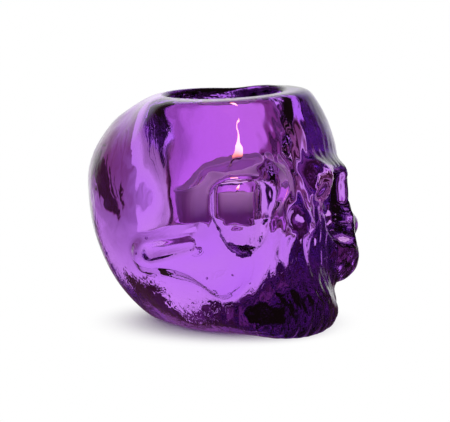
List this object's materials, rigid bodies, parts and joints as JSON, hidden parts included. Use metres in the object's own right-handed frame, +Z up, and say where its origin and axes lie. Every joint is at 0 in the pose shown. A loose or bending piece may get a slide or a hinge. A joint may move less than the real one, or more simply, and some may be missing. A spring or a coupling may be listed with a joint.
{
  "type": "skull tealight holder",
  "caption": "Skull-shaped holder of thick violet glass with a round well in the crown, in which a tealight stands; the tealight lifts out.",
  "frame": {"origin": "where the well's axis meets the flat base that the skull stands on", "axes": "+Z up along the well's axis, -Y the way the face looks, +X to the right of someone who looks at the face"},
  "size_m": [0.0862, 0.105, 0.0845],
  "materials": {
    "violet_glass": "clear violet, fire polished, slightly wavy, with a few seeds",
    "cup_aluminium": "drawn thin, satin",
    "sustainer_metal": "tinned",
    "wax": "pale lilac wax, melted glossy near the wick",
    "wick_cotton": "waxed cotton, charred at the tip"
  },
  "bodies": {
    "holder": {"glass_skull": "violet_glass"},
    "cup": {"tealight_cup": "cup_aluminium"},
    "candle": {"wax": "wax", "wick": "wick_cotton", "wick_sustainer": "sustainer_metal"}
  },
  "joints": [
    {"name": "tealight_lift", "type": "slide", "parent": "holder", "child": "cup", "axis": [0, 0, 1], "range_m": [0, 0.07]},
    {"name": "candle_lift", "type": "slide", "parent": "cup", "child": "candle", "axis": [0, 0, 1], "range_m": [0, 0.025]}
  ]
}
